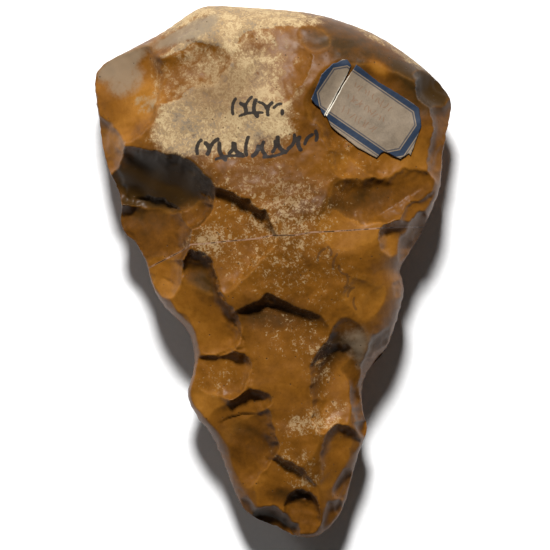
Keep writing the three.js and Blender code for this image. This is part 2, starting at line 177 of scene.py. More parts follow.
# Lighter and darker patina; many dark patches, under ledges, in hollows and on walls, are painted shade.
TONE_AND_PAINTED_SHADE = [
    (28, 72, 22, 8, -30, -0.9), (22, 44, 14, 7, -20, -0.3), (46, 52, 6, 14, 0, -0.4), (53, 58, 7, 9, 0, -0.8),
    (47, 66, 8, 5, -40, -0.6), (35, 67, 4, 2.2, -30, 1.4), (-42, 25, 14, 14, 0, -0.5),
    (-30, 33, 16, 6, -15, -0.5), (16, 52, 9, 10, 0, -0.1), (30, 38, 14, 5, 0, 0.2), (46, 40, 6, 14, 0, 0.3),
    (-50, 44, 5, 9, 0, 0.5), (-42, 56, 6, 7, 0, 0.9), (-35, 30, 16, 7, -12, -0.6), (0, -14, 14, 5, 0, -0.7),
    (-23, -3, 4, 9, 25, -0.8), (24, -26, 5, 5, 0, -0.7), (18, -30, 3, 9, -20, -0.5), (5, -74, 9, 3, 0, -0.8),
    (-2, -83, 8, 3, -20, -0.8), (-9, -55, 9, 7, 0, -0.4), (20, 22, 20, 4, 10, -0.4), (28, 10, 12, 10, 0, 0.2),
    (-32, -18, 6, 8, 0, 0.3), (-22, -44, 6, 5, 0, 0.4), (20, -48, 6, 10, 0, 0.15), (38, 0, 4, 12, 0, 0.3),
]

# ---- fine relief, in millimetres ---------------------------------------------------------------------

FRAY, FRAY_SIZE = 0.9, 8  # how far a scar's border wanders, and how long its bends are
FINE_FRAY, FINE_FRAY_SIZE = 0.35, 2.7
RIPPLE_LENGTH = (2.1, 0.05, 0.03)  # from crest to crest, and its growth with the scar's length and outwards
FLOOR_DIP = 0.28  # of the uneven floor of a scar
BITE_SIZE, BITE_WIDTH, BITE_DEPTH = (0.8, 3.6), (0.7, 1.5), 0.16  # width and depth as shares of the size
JAG, JAG_SIZE = 0.35, 3  # of the thin steps
CRUST, FINE_CRUST = 0.3, 0.10  # unevenness of the nodule's skin
EDGE_WEAR, SOFT_WEAR = 0.12, 2.6  # of the wedge near the edge, and of ridges on the worn patches
ARRIS_WIDTH = 0.55
RINGS = (0.01, 0.05, 0.15, 0.35, 0.7)  # insets of the mesh's rings inside the outline

CRACK_LIP, TORN_PAPER, PAPER_EDGE = (0.3, 0.18, 0.12), (0.62, 0.56, 0.45), (0.26, 0.2, 0.13)
LATTICE = 64  # cells each way before a table of random numbers repeats
MIX_A, MIX_B, MIX_RESULT = 6, 7, 2  # the colour sockets of a Mix node


class Socket:
    """A shader socket that arithmetic can be written with."""

    def __init__(self, tree, link):
        self.tree, self.link = tree, link

    def make(self, kind, settings=None, **values):
        """Any other node: its settings are set first, then the values or links of its sockets."""
        node = self.tree.nodes.new(kind)
        for name, value in (settings or {}).items():
            setattr(node, name, value)
        for name, value in values.items():
            plug(self.tree, value, node.inputs[name.replace("_", " ")])
        return node

    def maths(self, operation, *values):
        node = self.tree.nodes.new("ShaderNodeMath")
        node.operation = operation
        for value, socket in zip(values, node.inputs):
            plug(self.tree, value, socket)
        return Socket(self.tree, node.outputs[0])

    def __add__(self, other):
        return self.maths("ADD", self, other)

    def __sub__(self, other):
        return self.maths("SUBTRACT", self, other)

    def __mul__(self, other):
        return self.maths("MULTIPLY", self, other)

    def __rsub__(self, other):
        return self.maths("SUBTRACT", other, self)

    def __rtruediv__(self, other):
        return self.maths("DIVIDE", other, self)

    __radd__, __rmul__ = __add__, __mul__

    def __neg__(self):
        return self * -1

    def __abs__(self):
        return self.maths("ABSOLUTE", self)

    def least(self, other):
        return self.maths("MINIMUM", self, other)

    def most(self, other):
        return self.maths("MAXIMUM", self, other)

    def ramp(self, low, high, start=0.0, stop=1.0):
        """A smooth step from start at low to stop at high."""
        node = self.make(
            "ShaderNodeMapRange", {"interpolation_type": "SMOOTHSTEP"},
            Value=self, From_Min=low, From_Max=high, To_Min=start, To_Max=stop,
        )
        return Socket(self.tree, node.outputs["Result"])


def plug(tree, value, socket):
    if isinstance(value, Socket):
        tree.links.new(value.link, socket)
    elif isinstance(value, bpy.types.NodeSocket):
        tree.links.new(value, socket)
    elif socket.type == "RGBA":
        socket.default_value = (*value[:3], 1)
    else:
        socket.default_value = value


class Finish:
    """A material under construction, with the few nodes that every finish here starts from."""

    def __init__(self, name):
        self.material = bpy.data.materials.new(name)
        self.material.use_nodes = True
        self.tree = self.material.node_tree
        self.shader = self.tree.nodes["Principled BSDF"]
        self.any = Socket(self.tree, None)

    def point(self):
        """Object coordinates in millimetres."""
        node = self.any.make("ShaderNodeTexCoord")
        scaled = self.any.make(
            "ShaderNodeVectorMath", {"operation": "SCALE"}, Vector=node.outputs["Object"], Scale=1 / MM
        )
        return scaled.outputs[0]

    def axes(self, vector):
        node = self.any.make("ShaderNodeSeparateXYZ", Vector=vector)
        return [Socket(self.tree, out) for out in node.outputs]

    def noise(self, vector, size, detail=3.0, roughness=0.55, distortion=0.0, shift=0.0):
        """Noise of that grain size in millimetres."""
        node = self.any.make(
            "ShaderNodeTexNoise", {"noise_dimensions": "4D"},
            Vector=vector, W=shift, Scale=1 / size, Detail=detail, Roughness=roughness, Distortion=distortion,
        )
        return Socket(self.tree, node.outputs[0])

    def mix(self, factor, first, second):
        """The first colour, and the second in its place where the factor is 1."""
        node = self.any.make("ShaderNodeMix", {"data_type": "RGBA", "clamp_factor": True}, Factor=factor)
        plug(self.tree, first, node.inputs[MIX_A])
        plug(self.tree, second, node.inputs[MIX_B])
        return node.outputs[MIX_RESULT]

    def colour_ramp(self, factor, stops):
        node = self.tree.nodes.new("ShaderNodeValToRGB")
        ramp = node.color_ramp
        while len(ramp.elements) < len(stops):
            ramp.elements.new(0.5)
        for element, (place, colour) in zip(ramp.elements, stops):
            element.position, element.color = place, (*colour, 1)
        plug(self.tree, factor, node.inputs[0])
        return node.outputs[0]

    def bump(self, height, distance, strength=1.0, normal=None):
        """`height` in millimetres."""
        values = {"Height": height, "Distance": distance * MM, "Strength": strength}
        if normal is not None:
            values["Normal"] = normal
        return self.any.make("ShaderNodeBump", **values).outputs[0]

    def set(self, name, value):
        plug(self.tree, value, self.shader.inputs[name])

    def value(self, name):
        """The number that the mesh carries under that name."""
        node = self.any.make("ShaderNodeAttribute", {"attribute_name": name})
        return Socket(self.tree, node.outputs["Fac"])


# ---- the stone as two height fields over its plan, in millimetres ----------------------------------


def between(first, second, share):
    return first + (second - first) * share


def turned(x, y, turn):
    """A place measured along and across a run that points `turn` radians from +X."""
    cos, sin = math.cos(turn), math.sin(turn)
    return x * cos + y * sin, y * cos - x * sin


def towards_butt(y, start, length):
    return np.clip((y - start) / length, 0, 1)


def runs_left(loop):
    """Whether a closed loop runs anticlockwise."""
    x, y = loop.T
    return np.sum(x * np.roll(y, -1) - y * np.roll(x, -1)) > 0


def smooth_loop(points, steps):
    """Evenly spaced points on the closed curve that runs through the given ones."""
    knots = np.array(points, float)
    before, after, beyond = (np.roll(knots, turn, 0) for turn in (1, -1, -2))
    t = np.linspace(0, 1, 24, endpoint=False)[:, None, None]
    leave, arrive = (after - before) / 2, (beyond - knots) / 2
    dense = (2 * t**3 - 3 * t**2 + 1) * knots + (t**3 - 2 * t**2 + t) * leave
    dense = dense + (3 * t**2 - 2 * t**3) * after + (t**3 - t**2) * arrive
    dense = dense.transpose(1, 0, 2).reshape(-1, 2)
    closed = np.vstack([dense, dense[:1]])
    walked = np.concatenate([[0], np.cumsum(np.hypot(*np.diff(closed, axis=0).T))])
    wanted = np.linspace(0, walked[-1], steps, endpoint=False)
    return np.stack([np.interp(wanted, walked, closed[:, axis]) for axis in (0, 1)], 1)


def swell(x, y, size, seed):
    """Smooth seeded unevenness between about -1 and 1, whose lumps are `size` apart."""
    table = np.random.default_rng(seed).uniform(-1, 1, (2, LATTICE, LATTICE))
    total = np.zeros_like(x)
    for octave, (scale, share) in enumerate(((1.0, 1.0), (2.1, 0.45))):
        u, v = turned(x, y, 0.7 + 1.3 * octave + seed)
        u, v = u * scale / size * 1.6 + 200, v * scale / size * 1.6 + 200
        i, j = np.floor(u).astype(int), np.floor(v).astype(int)
        u, v = u - i, v - j
        u, v = u * u * (3 - 2 * u), v * v * (3 - 2 * v)
        grid = table[octave]
        i, j, right, above = (cell % LATTICE for cell in (i, j, i + 1, j + 1))
        low = grid[j, i] * (1 - u) + grid[j, right] * u
        high = grid[above, i] * (1 - u) + grid[above, right] * u
        total += share * (low * (1 - v) + high * v)
    return total / 1.1


def patches(x, y, table):
    """The summed strength of soft round patches, each (x, y, radius, radius, turn, strength)."""
    total = np.zeros_like(x)
    for cx, cy, rx, ry, turn, strength in table:
        u, v = turned(x - cx, y - cy, math.radians(turn))
        total += strength * np.exp(-((u / rx) ** 2 + (v / ry) ** 2) ** 1.5)
    return total


def edge_height(x, y):
    return EDGE_HEIGHT + EDGE_TILT * y + EDGE_WAVE * np.sin(y / 9 + x / 30)


def spine_foot(x, y):
    """The nearest point of the spine, and how far along it is, from 0 at the butt to 1 at the point."""
    run = SPINE[1] - SPINE[0]
    along = np.clip(((x - SPINE[0, 0]) * run[0] + (y - SPINE[0, 1]) * run[1]) / (run @ run), 0, 1)
    return SPINE[0, 0] + along * run[0], SPINE[0, 1] + along * run[1], along


OUTLINE = smooth_loop(BUTT + RIGHT_SIDE + POINT + LEFT_SIDE, 840)


def rim_share(x, y):
    """From 0 on the outline to 1 on the spine, and then how far along the spine the point is, how far
    inside the outline it is, and the way straight out from the spine."""
    foot_x, foot_y, along = spine_foot(x, y)
    out_x, out_y = x - foot_x, y - foot_y
    reach = np.hypot(out_x, out_y) + 1e-9
    out_x, out_y = out_x / reach, out_y / reach
    rim = np.zeros_like(x)
    for (ax, ay), (bx, by) in zip(OUTLINE, np.roll(OUTLINE, -1, 0)):
        run_x, run_y = bx - ax, by - ay
        across = out_x * run_y - out_y * run_x
        with np.errstate(all="ignore"):
            far = ((ax - foot_x) * run_y - (ay - foot_y) * run_x) / across
            share = ((ax - foot_x) * out_y - (ay - foot_y) * out_x) / across
        rim = np.where((far > rim) & (share >= -1e-6) & (share <= 1 + 1e-6), far, rim)
    rim = np.where(rim > 0, rim, reach)
    return np.clip(1 - reach / rim, 0, 1), along, np.maximum(rim - reach, 0), out_x, out_y


def bulge(share, along):
    power = between(*ROUNDNESS, along)
    return (1 - (1 - share) ** power) ** (1 / power)


def wobble(x, y):
    return (
        0.8 * np.sin(0.29 * y + 0.9) + 0.45 * np.sin(0.53 * x - 0.31 * y + 2),
        0.8 * np.sin(0.27 * x + 2.1) + 0.45 * np.sin(0.37 * x + 0.49 * y),
    )


def back_to_edge(end, turn):
    """How far it is from the end of a scar, backwards along its run, to the outline."""
    way = np.array([-math.cos(math.radians(turn)), -math.sin(math.radians(turn))])
    run = np.roll(OUTLINE, -1, 0) - OUTLINE
    away = OUTLINE - np.array(end)
    across = way[0] * run[:, 1] - way[1] * run[:, 0]
    far = (away[:, 0] * run[:, 1] - away[:, 1] * run[:, 0]) / across
    share = (away[:, 0] * way[1] - away[:, 1] * way[0]) / across
    hits = far[(far > 0) & (share >= 0) & (share <= 1)]
    return float(hits.min())


def scar_surface(scar, x, y, side, ripple):
    """The pan that one flake left, with the ripples that spread from the point where it was struck."""
    end, turn, (ahead, across, behind), floor, tilt, wall, steep = scar[:7]
    shift_x, shift_y = wobble(x, y)
    shift_x, shift_y = wobble(x - shift_x, y - shift_y)
    u, v = turned(x - shift_x - end[0], y - shift_y - end[1], math.radians(turn))
    u = u + ahead
    frayed_u = u + FRAY * swell(x, y, FRAY_SIZE, 91) + FINE_FRAY * swell(x, y, FINE_FRAY_SIZE, 92)
    frayed_v = v + FRAY * swell(x, y, FRAY_SIZE, 93) + FINE_FRAY * swell(x, y, FINE_FRAY_SIZE, 94)
    r = np.hypot(frayed_u / np.where(frayed_u > 0, ahead, behind), frayed_v / across)
    height = np.full_like(x, side * 1e3)
    near = r <= SCAR_REACH
    x, y, u, v, r = x[near], y[near], u[near], v[near], r[near]
    run = min(back_to_edge(end, turn), behind + ahead)
    ring = np.hypot(u - ahead + run, v * 0.85)
    length = RIPPLE_LENGTH[0] + RIPPLE_LENGTH[1] * run + RIPPLE_LENGTH[2] * ring
    seed = int(abs(end[0] * 7 + end[1] * 13)) + 3
    uneven = swell(x, y, 6, seed)
    sunk = ripple * (1 + np.sin(ring / length * math.tau + 0.9 * uneven)) * (0.45 + 0.3 * uneven)
    sunk += FLOOR_DIP * (1 + swell(x, y, 11, seed + 1)) * min(1.0, across / 9)
    height[near] = floor + side * (tilt[0] * u + tilt[1] * v + wall * r**steep) - side * sunk
    return height


def lower_scars():
    """The lower face's flakes, struck inwards at even steps round the outline, no two quite alike."""
    coarse = smooth_loop(BUTT + RIGHT_SIDE + POINT + LEFT_SIDE, LOWER_OUTLINE_STEPS)
    picked = [coarse[round(i * LOWER_OUTLINE_STEPS / LOWER_COUNT)] for i in range(LOWER_COUNT)]
    scars = []
    for i, (px, py) in enumerate(p for p in picked if p[1] < LOWER_BUTT_LINE):
        foot_x, foot_y, along = spine_foot(px, py)
        dx, dy = foot_x - px, foot_y - py
        step = min(0.95, LOWER_INSET * (1 + 0.18 * math.sin(i * 2.4)) / math.hypot(dx, dy))
        size = (1 + 0.15 * math.sin(i * 1.7)) * between(1, 0.72, along)
        scars.append((
            (px + dx * step, py + dy * step),
            math.degrees(math.atan2(dy, dx)) + 14 * math.sin(i * 3.1),
            (LOWER_HALF[0] * size, LOWER_HALF[1] * size, OPEN),
            edge_height(px, py) - between(*LOWER_DEPTH, along),
            (LOWER_SLOPE * between(1, 0.75, along), 0.1 * math.sin(i * 4.3)),
            LOWER_WALL,
            LOWER_STEEP,
            0.5 * math.sin(i * 2.9),
        ))
    return scars


def edge_bites(x, y, count, seed):
    """How deep small bites along the edge have sunk the surface."""
    dice = np.random.default_rng(seed)
    depth = np.zeros_like(x)
    for _ in range(count):
        i = dice.integers(len(OUTLINE))
        (px, py), (qx, qy) = OUTLINE[i], OUTLINE[(i + 1) % len(OUTLINE)]
        turn = math.atan2(-(qx - px), qy - py) + math.pi + dice.normal(0, 0.4)
        size, wide = dice.uniform(*BITE_SIZE), dice.uniform(*BITE_WIDTH)
        deep = BITE_DEPTH * size * dice.uniform(0.5, 1.3)
        u, v = turned(x - px, y - py, turn)
        u, v = u / size, v / (size * wide)
        bowl = 1 - u**2 - v**2 + 0.25 * np.sin(3 * v + i) * v
        depth = np.maximum(depth, deep * np.clip(bowl * 2.2, 0, 1) * (1 - 0.45 * np.clip(u, 0, 1)))
    return depth


def distance_to_path(x, y, path):
    """The distance to a run of straight pieces, and the signed side of the nearest one."""
    nearest = np.full_like(x, 1e3)
    side = np.zeros_like(x)
    for (ax, ay), (bx, by) in zip(path, path[1:]):
        run_x, run_y = bx - ax, by - ay
        share = np.clip(((x - ax) * run_x + (y - ay) * run_y) / (run_x**2 + run_y**2), 0, 1)
        away = np.hypot(x - ax - share * run_x, y - ay - share * run_y)
        turn = run_x * (y - ay) - run_y * (x - ax)
        side = np.where(away < nearest, np.sign(turn), side)
        nearest = np.minimum(nearest, away)
    return nearest, side


def ledge_drop(x, y):
    """How far the thin steps have sunk the surface on their low sides."""
    drop = np.zeros_like(x)
    for path, height, fade in LEDGES:
        jag_x, jag_y = (JAG * swell(x, y, JAG_SIZE, seed) for seed in (95, 96))
        away, side = distance_to_path(x + jag_x, y + jag_y, path)
        first, last = np.array(path[0]), np.array(path[-1])
        run = last - first
        share = ((x - first[0]) * run[0] + (y - first[1]) * run[1]) / (run @ run)
        taper = np.clip(share * (1 - share) * 5, 0, 1)
        drop += np.where(side > 0, height * np.exp(-away / fade) * taper, 0)
    return drop


class Face:
    """One face of the stone over given plan points: its height and what covers it there."""

    def __init__(self, x, y, side, look):
        share, along, self.inset, self.out_x, self.out_y = rim_share(x, y)
        edge = edge_height(x, y)
        rounded = bulge(share, along)
        if side > 0:
            whole, scars = edge + between(RISE[0], RISE[1], along ** RISE[2]) * rounded, UPPER_SCARS.values()
        else:
            whole, scars = edge - between(DROP[0], DROP[1], along ** DROP[2]) * rounded, lower_scars()
        crust = CRUST * (1 + swell(x, y, 9, 21)) + FINE_CRUST * (1 + swell(x, y, 3.1, 22))
        lowest = side * whole - crust * np.minimum(1, rounded * 2)
        second = np.full_like(x, 1e3)
        self.tone = np.zeros_like(x)
        self.skin = np.ones_like(x)
        for scar in scars:
            height = side * scar_surface(scar, x, y, side, look.ripple / MM)
            mine = height < lowest
            second = np.where(mine, lowest, np.minimum(second, height))
            lowest = np.where(mine, height, lowest)
            self.tone = np.where(mine, scar[7], self.tone)
            self.skin = np.where(mine, 0, self.skin)
        wear = EDGE_WEAR * (1 + swell(x, y, 5, 23)) * np.minimum(1, self.inset)
        wedge = side * edge + WEDGE * share - wear
        raised = wedge > lowest
        lowest, second = np.where(raised, wedge, lowest), np.where(raised, 1e3, second)
        self.tone = np.where(raised, 0.1, self.tone)
        gap = second - lowest
        worn = look.round_off / MM + SOFT_WEAR * np.clip(patches(x, y, SOFT), 0, 1) * (side > 0)
        self.arris = np.exp(-gap / ARRIS_WIDTH)
        lowest = lowest - np.maximum(0, worn - gap) ** 2 / (4 * worn)
        if side > 0:
            lowest = lowest - ledge_drop(x, y)
        keen = 1 - 0.8 * towards_butt(y, 60, 8)
        lowest = lowest - edge_bites(x, y, look.chips, look.seed + side) * keen
        lowest = np.maximum(lowest, side * edge + 0.02 * share)
        self.height = np.where(share > 0, side * lowest, edge)
        if side < 0:
            self.height = np.maximum(self.height, 0)


def rim_nibble(x, y):
    """How far the edge is set in from the smooth outline, in millimetres."""
    fine = np.abs(swell(x, y, 5, 31)) * 0.42 + np.abs(swell(x, y, 1.9, 32)) * 0.12
    return fine * (1 - 0.55 * towards_butt(y, 62, 8))


# ---- building meshes --------------------------------------------------------------------------------


def inset_loop(loop, distance):
    """A closed clockwise or anticlockwise loop moved inwards by a distance."""
    before, after = np.roll(loop, 1, 0), np.roll(loop, -1, 0)
    run = after - before
    normal = np.stack([run[:, 1], -run[:, 0]], 1) / np.maximum(np.hypot(*run.T), 1e-9)[:, None]
    if runs_left(loop):
        normal = -normal
    return loop + normal * distance


def inside_loop(points, loop):
    """Which points lie inside a closed loop."""
    x, y = points.T
    inside = np.zeros(len(points), bool)
    for (ax, ay), (bx, by) in zip(loop, np.roll(loop, -1, 0)):
        if ay != by:
            crosses = ((ay > y) != (by > y)) & (x < ax + (y - ay) * (bx - ax) / (by - ay))
            inside ^= crosses
    return inside


def filled_plan(loop, insets, spacing):
    """Rings just inside a loop, and an even honeycomb of points within them: points and triangles."""
    rings = [loop] + [inset_loop(loop, d) for d in insets]
    count = len(loop)
    triangles = []
    way = 1 if runs_left(loop) else -1
    here = np.arange(count)
    there = (here + 1) % count
    for k in range(len(insets)):
        outer, inner = k * count, (k + 1) * count
        for first, second in ((outer + there, inner + there), (inner + there, inner + here)):
            triangles.append(np.stack([outer + here, first, second][::way], 1))
    core = rings[-1]
    low, high = core.min(0), core.max(0)
    rows = np.arange(low[1], high[1], spacing * math.sqrt(0.75))
    columns = np.arange(low[0], high[0], spacing)
    grid = np.vstack([
        np.stack([columns + (i % 2) * spacing / 2, np.full(len(columns), row)], 1)
        for i, row in enumerate(rows)
    ])
    grid = grid[inside_loop(grid, inset_loop(core, spacing * 0.55))]
    plan = [Vector(p) for p in np.vstack([core, grid])]
    points, _, faces, *_ = geometry.delaunay_2d_cdt(plan, [], [list(range(count))], 1, 1e-6)
    if len(points) != len(plan):
        raise RuntimeError(f"the plan's loop crosses itself: {len(plan)} points became {len(points)}")
    start = len(insets) * count
    faces = np.array([f[:] for f in faces]) + start
    points = np.vstack(rings + [grid])
    corners = points[faces]
    area = np.cross(corners[:, 1] - corners[:, 0], corners[:, 2] - corners[:, 0])
    faces[area < 0] = faces[area < 0][:, ::-1]
    return points, np.vstack(triangles + [faces])


def slab_faces(count, upper, upper_points, lower):
    """Joins an upper and a lower plan along the loop of `count` points that they share."""
    below = np.where(lower < count, lower, lower - count + upper_points)
    return np.vstack([upper, below[:, ::-1]])


def put_mesh(name, vertices, faces, attributes):
    """A new object from vertices in millimetres, triangles and one number per vertex under each name."""
    mesh = bpy.data.meshes.new(name)
    mesh.vertices.add(len(vertices))
    mesh.vertices.foreach_set("co", (np.asarray(vertices) * MM).astype(np.float32).ravel())
    mesh.loops.add(faces.size)
    mesh.loops.foreach_set("vertex_index", faces.astype(np.int32).ravel())
    mesh.polygons.add(len(faces))
    mesh.polygons.foreach_set("loop_start", np.arange(0, faces.size, 3, dtype=np.int32))
    mesh.polygons.foreach_set("use_smooth", np.full(len(faces), True))
    mesh.update(calc_edges=True)
    for key, values in attributes.items():
        layer = mesh.attributes.new(key, "FLOAT", "POINT")
        layer.data.foreach_set("value", np.asarray(values, np.float32))
    if mesh.validate():
        raise RuntimeError(f"{name} has broken faces")
    piece = bpy.data.objects.new(name, mesh)
    bpy.context.scene.collection.objects.link(piece)
    return piece


def relief_tree(name):
    """Sinks a surface along its normals by fine seeded grain, where its `relief` number allows."""
    tree = bpy.data.node_groups.new(name, "GeometryNodeTree")
    for key, way, kind in (
        ("Geometry", "INPUT", "Geometry"), ("Grain Size", "INPUT", "Float"), ("Depth", "INPUT", "Float"),
        ("Seed", "INPUT", "Float"), ("Material", "INPUT", "Material"), ("Geometry", "OUTPUT", "Geometry"),
    ):
        tree.interface.new_socket(key, in_out=way, socket_type="NodeSocket" + kind)
    start = tree.nodes.new("NodeGroupInput")
    end = tree.nodes.new("NodeGroupOutput")
    make = Socket(tree, None).make
    depth, size, seed = (Socket(tree, start.outputs[key]) for key in ("Depth", "Grain Size", "Seed"))
    place = make("GeometryNodeInputPosition").outputs[0]
    grain = make(
        "ShaderNodeTexNoise", {"noise_dimensions": "4D"},
        Vector=place, W=seed, Scale=1 / size, Detail=3.0, Roughness=0.6,
    )
    allowed = make("GeometryNodeInputNamedAttribute", {"data_type": "FLOAT"}, Name="relief")
    sink = -depth * Socket(tree, grain.outputs[0]) * Socket(tree, allowed.outputs[0])
    normal = make("GeometryNodeInputNormal").outputs[0]
    move = make("ShaderNodeVectorMath", {"operation": "SCALE"}, Vector=normal, Scale=sink)
    moved = make("GeometryNodeSetPosition", Geometry=start.outputs["Geometry"], Offset=move.outputs[0])
    real = make("GeometryNodeRealizeInstances", Geometry=moved.outputs[0])
    dressed = make("GeometryNodeSetMaterial", Geometry=real.outputs[0], Material=start.outputs["Material"])
    plug(tree, dressed.outputs[0], end.inputs[0])
    return tree


def apply_tree(piece, tree, material, **inputs):
    """Runs a tree on a piece with the named inputs, and keeps the result as a plain mesh."""
    modifier = piece.modifiers.new(tree.name, "NODES")
    modifier.node_group = tree
    keys = {item.name: item.identifier for item in tree.interface.items_tree if item.in_out == "INPUT"}
    for name, value in {**inputs, "Material": material}.items():
        modifier[keys[name.replace("_", " ")]] = value
    depsgraph = bpy.context.evaluated_depsgraph_get()
    made = bpy.data.meshes.new_from_object(
        piece.evaluated_get(depsgraph), preserve_all_data_layers=True, depsgraph=depsgraph
    )
    piece.modifiers.remove(modifier)
    old, piece.data = piece.data, made
    bpy.data.meshes.remove(old)
    made.name = piece.name


def keep_in_box(piece, low, high):
    """Holds every vertex between two corners, in metres."""
    mesh = piece.data
    places = np.empty(len(mesh.vertices) * 3, np.float32)
    mesh.vertices.foreach_get("co", places)
    places = np.clip(places.reshape(-1, 3), np.array(low), np.array(high))
    mesh.vertices.foreach_set("co", places.astype(np.float32).ravel())
    mesh.update()


# ---- marks drawn on the surfaces, in millimetres -----------------------------------------------------

CRACK = [
    (-43, 0.5), (-40, 2), (-35, 4.5), (-30, 7), (-27, 9), (-22, 9.3), (-16, 10), (-10, 10.5), (-5, 11),
    (0, 12), (7, 12), (13, 13), (20, 13.3), (30, 14), (37, 14.5), (43, 14.8), (50, 14.9),
]

# Brush marks in old ink, each (x, y, turn, length, bow, half width). They are strokes and spell nothing.
UPPER_INK = [
    (-12.5, 54.2, 80, 5.0, 0.6, 0.32), (-9.6, 53.6, 118, 3.6, -0.8, 0.42), (-7.9, 55.2, 62, 4.6, 0.5, 0.3),
    (-5.2, 53.6, 95, 5.4, 0.9, 0.45), (-3.2, 54.6, 140, 3.0, -0.5, 0.3), (-0.8, 53.4, 72, 4.2, 0.7, 0.4),
    (1.6, 54.4, 30, 2.6, 0.3, 0.3), (-7.0, 51.6, 8, 7.5, 0.5, 0.25), (3.2, 52.2, 90, 1.0, 0, 0.4),
]
MIDDLE_INK = [
    (-24.0, 41.0, 75, 4.6, 0.7, 0.38), (-21.6, 40.4, 100, 3.6, -0.9, 0.5), (-19.4, 41.4, 55, 5.2, 0.6, 0.42),
    (-16.4, 39.4, 110, 5.6, 0.8, 0.5), (-13.6, 40.6, 70, 3.4, -0.7, 0.38), (-11.2, 40.2, 125, 4.0, 0.9, 0.48),
    (-8.2, 41.2, 84, 5.8, 0.5, 0.4), (-5.6, 39.6, 60, 3.6, -0.6, 0.5), (-2.6, 40.4, 100, 4.2, 0.8, 0.42),
    (0.4, 41.0, 78, 3.4, -0.5, 0.36), (3.0, 41.6, 118, 5.4, 1.0, 0.52), (6.2, 42.6, 66, 4.8, -0.8, 0.4),
    (9.0, 42.0, 96, 4.0, 0.6, 0.5), (11.8, 43.4, 52, 3.8, 0.5, 0.36), (14.2, 44.6, 92, 3.0, -0.4, 0.4),
    (-14.0, 37.4, 6, 9.0, 0.6, 0.26), (1.0, 38.6, 14, 8.0, -0.5, 0.28),
]
FAINT_INK = [
    (16.0, 5.6, 60, 4.6, 0.8, 0.2), (18.6, 6.8, 110, 3.0, -0.6, 0.2), (20.6, 3.4, 75, 5.0, 0.6, 0.22),
    (22.8, 0.6, 125, 3.4, 0.7, 0.2), (24.0, -3.0, 80, 4.4, -0.8, 0.22), (25.8, -6.6, 55, 3.6, 0.6, 0.2),
    (27.2, -10.4, 100, 3.8, 0.5, 0.2),
]
LABEL_ROWS = [(4.4, 15, 0.9), (0.2, 15, 1.0), (-4.2, 13, 0.9)]  # height of each row, its length, stroke size
PEN = 0.16  # half the width of a pen mark on the label


def ink_depth(x, y, strokes):
    """How far inside the nearest brush mark each point is: positive within the ink."""
    best = np.full_like(x, -1e3)
    for cx, cy, turn, length, bow, half in strokes:
        cos, sin = math.cos(math.radians(turn)), math.sin(math.radians(turn))
        points = []
        for share in np.linspace(-1, 1, 7):
            u, v = share * length / 2, bow * (1 - share**2)
            points.append((cx + u * cos - v * sin, cy + u * sin + v * cos))
        away, _ = distance_to_path(x, y, points)
        best = np.maximum(best, half - away)
    return best


# ---- sizes and colours that a user would change ------------------------------------------------------


def colour(name, note, default):
    return FloatVectorProperty(
        name=name, description=note, subtype="COLOR", size=3, min=0, max=1, default=default
    )


def length(name, note, default):
    return FloatProperty(name=name, description=note, subtype="DISTANCE", unit="LENGTH", default=default)


class StoneLook(bpy.types.PropertyGroup):
    ripple: length("Ripple height", "Height of the ripples that spread over each flake scar", 0.00008)
    round_off: length("Worn arris", "How wide the ridges between scars are worn round", 0.0003)
    fine: length("Upper mesh size", "Spacing of the points of the upper face", 0.0005)
    coarse: length("Lower mesh size", "Spacing of the points of the lower face", 0.0008)
    grain: length("Grain size", "Size of the fine unevenness of the surface", 0.0012)
    grain_depth: length("Grain depth", "Depth of the fine unevenness of the surface", 0.00012)
    chips: IntProperty(name="Edge chips", description="Small bites along the edge of each face", default=90)
    seed: IntProperty(name="Seed", description="Start of every random choice on the stone", default=11)
    ochre: colour("Ochre", "Main colour of the patina", (0.165, 0.06, 0.0045))
    orange: colour("Orange", "Brightest patina", (0.26, 0.105, 0.012))
    brown: colour("Brown", "Patina in the deeper scars", (0.09, 0.032, 0.0025))
    olive: colour("Olive", "Darkest patina", (0.036, 0.017, 0.003))
    buff: colour("Buff", "The nodule's skin", (0.27, 0.175, 0.083))
    cream: colour("Cream", "Pale speckles", (0.42, 0.31, 0.165))
    film: colour("Film", "Grey film over old breaks", (0.19, 0.145, 0.095))
    ink: colour("Ink", "Old brush marks", (0.012, 0.010, 0.009))


class LabelLook(bpy.types.PropertyGroup):
    length: length("Length", "Long side of the whole label", 0.039)
    width: length("Width", "Short side of the label", 0.0222)
    corner: length("Cut corner", "How far along each side a corner is cut", 0.005)
    thickness: length("Paper thickness", "Thickness of the paper with its glue", 0.0004)
    fine: length("Mesh size", "Spacing of the points of the paper", 0.00032)
    turn: FloatProperty(
        name="Turn", description="Way the label lies", subtype="ANGLE", default=math.radians(-34)
    )
    paper: colour("Paper", "Aged paper", (0.2, 0.15, 0.1))
    navy: colour("Navy", "Band of the border", (0.006, 0.017, 0.04))
    line: colour("Line", "Thin dark lines of the border", (0.03, 0.03, 0.04))
    brown: colour("Brown ink", "Faded writing marks", (0.17, 0.075, 0.03))


class StageLook(bpy.types.PropertyGroup):
    floor: length("Floor size", "Side of the square floor", 4.0)
    key: FloatProperty(name="Key light", description="Power of the main light", unit="POWER", default=26)
    fill: FloatProperty(name="Fill", description="Strength of the light from all round", default=0.045)
    side: FloatProperty(
        name="Side light", description="Power of the left light as a share of the key light", default=0.06
    )
    reach: length("View width", "Width of what the camera shows", 0.18333)
    distance: length("Camera distance", "Camera height over the edge of the stone", 1.5)


# ---- finishes ----------------------------------------------------------------------------------------


